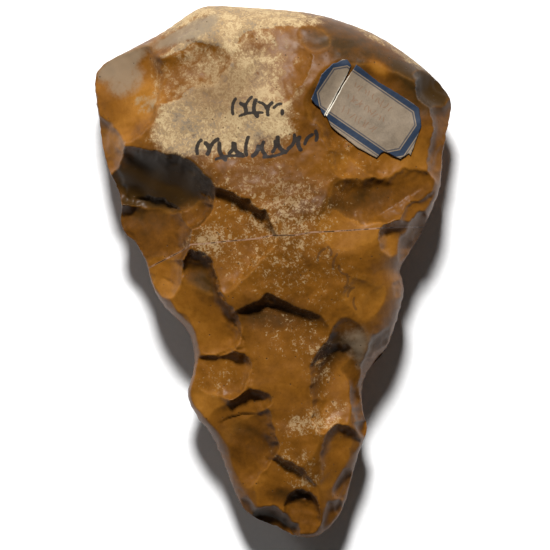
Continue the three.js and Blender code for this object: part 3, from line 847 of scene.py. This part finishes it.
def flint_finish(look):
    f = Finish("flint")
    place = f.point()
    cloud = f.noise(place, 13, 4, 0.6, 0.6)
    mottle = f.noise(place, 3.4, 5, 0.62, 0.3, 3)
    grain = f.noise(place, 0.9, 4, 0.6, 0, 5)
    speck = f.noise(place, 0.42, 2, 0.5, 0, 8)
    tone, skin, cream = f.value("tone"), f.value("cortex"), f.value("cream")
    film, arris, crack = f.value("film"), f.value("arris"), f.value("crack")
    ink, dull = f.value("ink"), f.value("dull")

    # How light the patina is, from the tone with its painted shade and from noise.
    depth = tone * 0.5 + 0.5 + (cloud - 0.5) * 0.7 + (mottle - 0.5) * 0.5 + (grain - 0.5) * 0.22
    patina = f.colour_ramp(depth, [
        (0.0, look.olive), (0.3, look.brown), (0.58, look.ochre), (0.9, look.orange), (1.0, look.buff),
    ])
    patina = f.mix((speck - 0.5).ramp(0.12, 0.2) * 0.35, patina, look.olive)
    # Ridges drawn towards orange: partly wear, partly a painted highlight along them.
    patina = f.mix(arris * (grain + 0.35).least(1) * 0.35, patina, look.orange)

    dirt = f.noise(place, 1.1, 5, 0.7, 1.2, 11)
    crust = f.colour_ramp(cloud * 0.25 + mottle * 0.3 + dirt * 0.45, [
        (0.36, look.brown), (0.43, look.film), (0.5, look.buff), (0.57, look.cream), (0.64, look.buff),
        (0.72, look.film),
    ])
    crust_mask = (skin + (cloud - 0.5) * 0.9 + (mottle - 0.5) * 1.1 + (dirt - 0.5) * 0.9).ramp(0.35, 0.85)
    body = f.mix(crust_mask, patina, crust)
    speckle = (dirt + (mottle - 0.5) * 0.5 + cream * 0.2).ramp(0.64, 0.74)
    body = f.mix(speckle * (cream * 1.5).least(0.5), body, look.cream)
    veil = (film + (mottle - 0.5) * 0.9 + (grain - 0.5) * 0.4).ramp(0.45, 1.0)
    body = f.mix(veil * 0.75, body, look.film)
    pit = f.any.make("ShaderNodeTexVoronoi", {"feature": "F1"}, Vector=place, Scale=1 / 2.6)
    pits = Socket(f.tree, pit.outputs["Distance"]).ramp(0.07, 0.13, 1, 0) * (mottle - 0.42).ramp(0, 0.15)
    body = f.mix(pits * 0.8, body, look.olive)
    body = f.mix((dull + (mottle - 0.5) * 0.6).ramp(0, 1) * 0.6, body, look.brown)

    line = abs(crack) + (grain - 0.5) * 0.25
    body = f.mix(line.ramp(0.16, 0.34, 1, 0) * (cloud + 0.2).least(0.7), body, CRACK_LIP)
    body = f.mix(line.ramp(0.1, 0.24, 1, 0) * (mottle - 0.45).ramp(0, 0.1), body, look.olive)
    drawn = (ink + (grain - 0.5) * 0.5 + (speck - 0.5) * 0.3).ramp(-0.32, -0.1)
    body = f.mix(drawn * (f.value("faint") * -0.55 + 0.95), body, look.ink)
    f.set("Base Color", body)

    gloss = 0.43 + (grain - 0.5) * 0.25 + crust_mask * 0.26 + (1 - veil) * 0.02 + drawn * 0.1
    f.set("Roughness", gloss.most(0.2))
    f.set("Specular IOR Level", 0.17)
    fine = f.bump(speck * 0.02 + grain * 0.05 - pits * 0.18, 1.0, 0.6)
    f.set("Normal", f.bump(mottle * crust_mask * 0.16, 1.0, 0.7, fine))
    return f.material


def paper_finish(look):
    f = Finish("label_paper")
    place = f.point()
    uv = f.any.make("ShaderNodeUVMap", {"uv_map": "label"}).outputs[0]
    p, q, _ = f.axes(uv)
    p, q = p * 100, q * 100
    fibre = f.noise(place, 0.5, 4, 0.7, 0.4)
    stain = f.noise(place, 6, 4, 0.6, 0.5, 2)
    half_l, half_w, corner = look.length / MM / 2, look.width / MM / 2, look.corner / MM
    across = (half_l - abs(p)).least(half_w - abs(q))
    cut = (half_l + half_w - corner - abs(p) - abs(q)) * math.sqrt(0.5)
    rim = across.least(cut) + (fibre - 0.5) * 0.18
    paper = f.colour_ramp(stain * 0.6 + fibre * 0.4, [
        (at, tuple(c * shade for c in look.paper)) for at, shade in ((0.3, 0.62), (0.5, 1), (0.68, 1.25))
    ])

    def band(low, high, soft=0.1):
        return rim.ramp(low - soft, low + soft) * rim.ramp(high - soft, high + soft, 1, 0)

    worn = (fibre * 0.6 + stain * 0.5).ramp(0.28, 0.42)
    body = f.mix(band(0.3, 0.6) * 0.8, paper, look.line)
    body = f.mix(band(0.95, 2.9) * worn, body, look.navy)
    body = f.mix(band(3.2, 3.65) * 0.85, body, look.line)
    drawn = (f.value("writing") + (fibre - 0.5) * 0.4).ramp(-0.12, 0.12)
    body = f.mix(drawn * 0.7, body, look.brown)
    torn = (f.value("torn") + (fibre - 0.5) * 0.7).ramp(0.25, 0.65, 1, 0)
    body = f.mix(torn, body, TORN_PAPER)
    body = f.mix(f.value("side"), body, PAPER_EDGE)
    f.set("Base Color", body)
    f.set("Roughness", 0.62 + (fibre - 0.5) * 0.2)
    f.set("Normal", f.bump(fibre * 0.06, 1.0, 0.5))
    return f.material


def floor_finish():
    f = Finish("table_top")
    place = f.point()
    grain = f.noise(place, 1.5, 3, 0.5)
    f.set("Base Color", f.colour_ramp(grain, [(0.3, (0.86, 0.86, 0.86)), (0.7, (0.9, 0.9, 0.9))]))
    f.set("Roughness", 0.8 + grain * 0.1)
    return f.material


# ---- operators -----------------------------------------------------------------------------------------

LABEL_AT = (31.0, 53.5)
LABEL_PARTS = {
    "main": [
        (27.5, 68.1), (34.9, 62.4), (38.75, 60.2), (44.8, 56.5), (48.3, 54.05), (49.15, 48.2), (45.5, 38.4),
        (44.9, 39.1), (42.1, 37.3), (40.65, 37.8), (38.7, 38.95), (36.7, 39.7), (35.7, 39.1), (34.35, 37.5),
        (27.5, 41.2), (20.1, 47), (19.2, 47.9), (18.2, 50.1), (17.5, 51.4), (20.4, 56.4), (23.1, 61.4),
        (25.85, 65.5),
    ],
    "fragment": [
        (12.7, 56.6), (16.2, 64.8), (19.8, 68.3), (21.1, 68.6), (23.05, 69.8), (24.5, 69.6), (25.85, 67.7),
        (24.8, 65.5), (22.45, 61.1), (20.1, 56.4), (17.2, 51.1), (16.15, 52.4), (15.6, 53.8), (14.25, 54.8),
    ],
}
TEAR = [(17.35, 51.2), (20.25, 56.4), (22.8, 61.2), (25.3, 65.5), (26.6, 68)]


class HANDAXE_OT_stone(bpy.types.Operator):
    """Knaps the stone and gives it its patina"""

    bl_idname = "handaxe.stone"
    bl_label = "Knap the stone"

    def execute(self, context):
        look = context.scene.handaxe_stone
        count = len(OUTLINE)
        up_plan, up_faces = filled_plan(OUTLINE, RINGS, look.fine / MM)
        low_plan, low_faces = filled_plan(OUTLINE, RINGS, look.coarse / MM)
        upper = Face(*up_plan.T, 1, look)
        lower = Face(*low_plan.T, -1, look)
        upper.height[:count] = edge_height(*OUTLINE.T)

        def join(name):
            return np.concatenate([getattr(upper, name), getattr(lower, name)[count:]])

        plan = np.vstack([up_plan, low_plan[count:]])
        x, y = plan.T
        height, inset, out_x, out_y = join("height"), join("inset"), join("out_x"), join("out_y")
        nibble = rim_nibble(x, y) * np.exp(-inset / 2.2)
        vertices = np.stack([x - out_x * nibble, y - out_y * nibble, height], 1)
        faces = slab_faces(count, up_faces, len(up_plan), low_faces)
        top = np.arange(len(plan)) < len(up_plan)
        cortex = np.where(top, patches(x, y, CORTEX), towards_butt(y, 58, 14) * 0.9)
        crack, side = distance_to_path(x, y, CRACK)
        ink = np.maximum(ink_depth(x, y, UPPER_INK), ink_depth(x, y, MIDDLE_INK))
        faint = ink_depth(x, y, FAINT_INK)
        numbers = {
            # The scars' tone plus patches that carry painted shade as well as the patina's own tone.
            "tone": join("tone") * 0.6 + np.where(top, patches(x, y, TONE_AND_PAINTED_SHADE), -0.15),
            "cortex": cortex * (0.55 + 0.45 * join("skin")),
            "cream": np.where(top, patches(x, y, CREAM), 0.35 * (1 + swell(x, y, 30, 41))),
            "film": np.where(top, patches(x, y, GREY), 0.3 * (1 + swell(x, y, 22, 42))),
            "arris": join("arris"),
            "dull": np.where(top, patches(x, y, DULL), 0),
            "crack": np.where(top, crack * np.where(side == 0, 1, side), 9),
            "ink": np.where(top, np.maximum(ink, faint), -9),
            "faint": np.where(faint > ink, 1, 0),
            "relief": np.where(height < 0.3, 0, 0.45 + 0.55 * join("skin")),
        }
        piece = put_mesh("stone_body", vertices, faces, numbers)
        apply_tree(
            piece, relief_tree("stone_relief"), flint_finish(look),
            Grain_Size=look.grain, Depth=look.grain_depth, Seed=4.0,
        )
        keep_in_box(piece, *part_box("stone"))
        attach(piece, "root")
        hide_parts("stone")
        return {"FINISHED"}


class HANDAXE_OT_label(bpy.types.Operator):
    """Glues the torn paper label to the upper face"""

    bl_idname = "handaxe.label"
    bl_label = "Glue the label"

    def execute(self, context):
        look, stone = context.scene.handaxe_label, context.scene.handaxe_stone
        bed_x, bed_y, bed = draped_bed(stone)
        vertices, faces, numbers, uvs = [], [], [], []
        start = 0
        for seed, corners in enumerate(LABEL_PARTS.values(), 51):
            loop = ragged_loop(corners, 0.35, seed)
            plan, triangles = filled_plan(loop, (), look.fine / MM)
            count = len(loop)
            x, y = plan.T
            torn, _ = distance_to_path(x, y, TEAR)
            rim, _ = distance_to_path(x, y, [tuple(p) for p in loop] + [tuple(loop[0])])
            lift = 0.08 + 0.35 * np.exp(-torn / 1.2) * (1 + swell(x, y, 4, 61)) / 2
            lift += 0.25 * np.exp(-rim / 1.0) * np.clip(swell(x, y, 9, 62), 0, 1)
            crinkle = 0.05 * swell(x, y, 3.2, 63)
            base = sample(bed, bed_x, bed_y, x, y) + lift + crinkle
            p, q = turned(x - LABEL_AT[0], y - LABEL_AT[1], look.turn)
            writing = label_marks(p, q)
            for z, edge_only in ((base + look.thickness / MM, False), (base, True)):
                vertices.append(np.stack([x, y, z], 1))
                uvs.append(np.stack([p, q], 1) / 100)
                numbers.append(np.stack([writing, torn, np.full(len(x), float(edge_only))], 1))
            total = len(plan)
            faces.append(triangles + start)
            faces.append(triangles[:, ::-1] + start + total)
            here = np.arange(count)
            there = (here + 1) % count
            if not runs_left(loop):
                here, there = there, here
            for first, second in ((there + total, there), (there, here)):
                faces.append(np.stack([here + total, first, second], 1) + start)
            start += 2 * total
        vertices, faces, numbers, uvs = (np.vstack(rows) for rows in (vertices, faces, numbers, uvs))
        piece = put_mesh("paper_piece", vertices, faces, {
            "writing": numbers[:, 0], "torn": numbers[:, 1], "side": numbers[:, 2],
            "relief": 1 - numbers[:, 2],
        })
        layer = piece.data.uv_layers.new(name="label")
        layer.data.foreach_set("uv", uvs[faces.ravel()].astype(np.float32).ravel())
        apply_tree(
            piece, relief_tree("paper_relief"), paper_finish(look), Grain_Size=0.0008, Depth=0.00006, Seed=7.0
        )
        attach(piece, "root")
        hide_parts("paper_label")
        return {"FINISHED"}


def draped_bed(stone):
    """The surface that a stiff paper takes up when it is pressed onto the stone and bridges its hollows."""
    bed_x, bed_y = np.arange(8, 54, 0.5), np.arange(32, 74, 0.5)
    x, y = np.meshgrid(bed_x, bed_y)
    rock = Face(x.ravel(), y.ravel(), 1, stone).height.reshape(x.shape)
    bed = rock.copy()
    for _ in range(60):
        padded = np.pad(bed, 1, mode="edge")
        mean = (padded[:-2, 1:-1] + padded[2:, 1:-1] + padded[1:-1, :-2] + padded[1:-1, 2:]) / 4
        bed = np.maximum(rock, mean)
    return bed_x, bed_y, bed


def sample(grid, grid_x, grid_y, x, y):
    """Bilinear values of a grid at scattered points."""
    step = grid_x[1] - grid_x[0]
    u, v = (x - grid_x[0]) / step, (y - grid_y[0]) / step
    i, j = np.clip(u.astype(int), 0, len(grid_x) - 2), np.clip(v.astype(int), 0, len(grid_y) - 2)
    u, v = u - i, v - j
    low = grid[j, i] * (1 - u) + grid[j, i + 1] * u
    high = grid[j + 1, i] * (1 - u) + grid[j + 1, i + 1] * u
    return low * (1 - v) + high * v


def ragged_loop(corners, step, seed):
    """A cut or torn paper edge: straight runs between corners, with a fine seeded fray."""
    points = []
    closed = np.array(corners + corners[:1], float)
    for a, b in zip(closed, closed[1:]):
        pieces = max(1, round(float(np.hypot(*(b - a))) / step))
        points += [between(a, b, i / pieces) for i in range(pieces)]
    loop = np.array(points)
    x, y = loop.T
    return loop + 0.09 * np.stack([swell(x, y, 2.2, seed), swell(x, y, 1.8, seed + 9)], 1)


def label_marks(p, q):
    """Rows of faded pen marks on the label. They are strokes and spell nothing."""
    dice = np.random.default_rng(71)
    strokes = []
    for row, run, size in LABEL_ROWS:
        at = -run / 2
        while at < run / 2:
            tall = size * dice.uniform(1.2, 2.6)
            height, turn = row + dice.normal(0, 0.2), dice.uniform(55, 125)
            strokes.append((at, height, turn, tall, dice.uniform(-0.4, 0.4), PEN))
            at += dice.uniform(0.9, 2.0)
    return ink_depth(p, q, strokes)


EDGE_LEVEL = 0.02  # height of the stone's edge, at which the lights and the camera are aimed
FLOOR_LEVEL = -0.0002
LIGHTS = {  # name: way from the stone, how far off, its two sides
    "key": ((-0.05, 0.62, 0.78), 1.2, (0.2, 0.16)),
    "side": ((-0.75, 0.5, 0.6), 1.3, (0.2, 0.5)),
}
EYE_AT = (0.00083, -0.001)
SENSOR = 36


class HANDAXE_OT_stage(bpy.types.Operator):
    """Sets the floor, the soft lights and the camera straight above"""

    bl_idname = "handaxe.stage"
    bl_label = "Set the studio"

    def execute(self, context):
        look = context.scene.handaxe_stage
        half = look.floor / 2
        floor = bpy.data.meshes.new("table_top")
        corners = [(-half, -half), (half, -half), (half, half), (-half, half)]
        floor.from_pydata([(x, y, FLOOR_LEVEL) for x, y in corners], [], [(0, 1, 2, 3)])
        floor.materials.append(floor_finish())
        table = bpy.data.objects.new("table_top", floor)
        context.scene.collection.objects.link(table)
        middle = Vector((0, 0, EDGE_LEVEL))
        power = {"key": look.key, "side": look.key * look.side}
        for name, (way, far, size) in LIGHTS.items():
            light = bpy.data.lights.new(name, "AREA")
            light.shape, light.size, light.size_y, light.energy = "RECTANGLE", *size, power[name]
            lamp = bpy.data.objects.new(name, light)
            lamp.location = middle + Vector(way).normalized() * far
            lamp.rotation_euler = (middle - lamp.location).to_track_quat("-Z", "Y").to_euler()
            lamp.visible_camera = False
            context.scene.collection.objects.link(lamp)
        world = bpy.data.worlds.new("soft_room")
        world.use_nodes = True
        background = world.node_tree.nodes["Background"].inputs
        background["Color"].default_value = (1, 1, 1, 1)
        background["Strength"].default_value = look.fill
        context.scene.world = world
        camera = bpy.data.cameras.new("camera")
        camera.sensor_width = SENSOR
        camera.lens = SENSOR * look.distance / look.reach
        eye = bpy.data.objects.new("camera", camera)
        eye.location = (*EYE_AT, EDGE_LEVEL + look.distance)
        context.scene.collection.objects.link(eye)
        context.scene.camera = eye
        context.scene.view_settings.view_transform = "Standard"
        return {"FINISHED"}


class HANDAXE_PT_panel(bpy.types.Panel):
    """Lists the steps and the sizes and colours behind them"""

    bl_idname = "HANDAXE_PT_panel"
    bl_label = "Hand Axe"
    bl_space_type = "VIEW_3D"
    bl_region_type = "UI"
    bl_category = "Hand Axe"

    def draw(self, context):
        for step, settings in STEPS:
            box = self.layout.box()
            box.operator(step.bl_idname)
            look = getattr(context.scene, settings)
            for key in type(look).__annotations__:
                box.prop(look, key)


STEPS = (
    (HANDAXE_OT_stone, "handaxe_stone"),
    (HANDAXE_OT_label, "handaxe_label"),
    (HANDAXE_OT_stage, "handaxe_stage"),
)
LOOKS = {"handaxe_stone": StoneLook, "handaxe_label": LabelLook, "handaxe_stage": StageLook}


def register():
    for group in LOOKS.values():
        bpy.utils.register_class(group)
    for step, _ in STEPS:
        bpy.utils.register_class(step)
    bpy.utils.register_class(HANDAXE_PT_panel)
    for name, group in LOOKS.items():
        setattr(bpy.types.Scene, name, PointerProperty(type=group))


def unregister():
    for name in LOOKS:
        delattr(bpy.types.Scene, name)
    bpy.utils.unregister_class(HANDAXE_PT_panel)
    for step, _ in STEPS:
        bpy.utils.unregister_class(step)
    for group in LOOKS.values():
        bpy.utils.unregister_class(group)


def main():
    register()
    bpy.ops.handaxe.stone()
    bpy.ops.handaxe.label()
    bpy.ops.handaxe.stage()


if __name__ == "__main__":
    main()
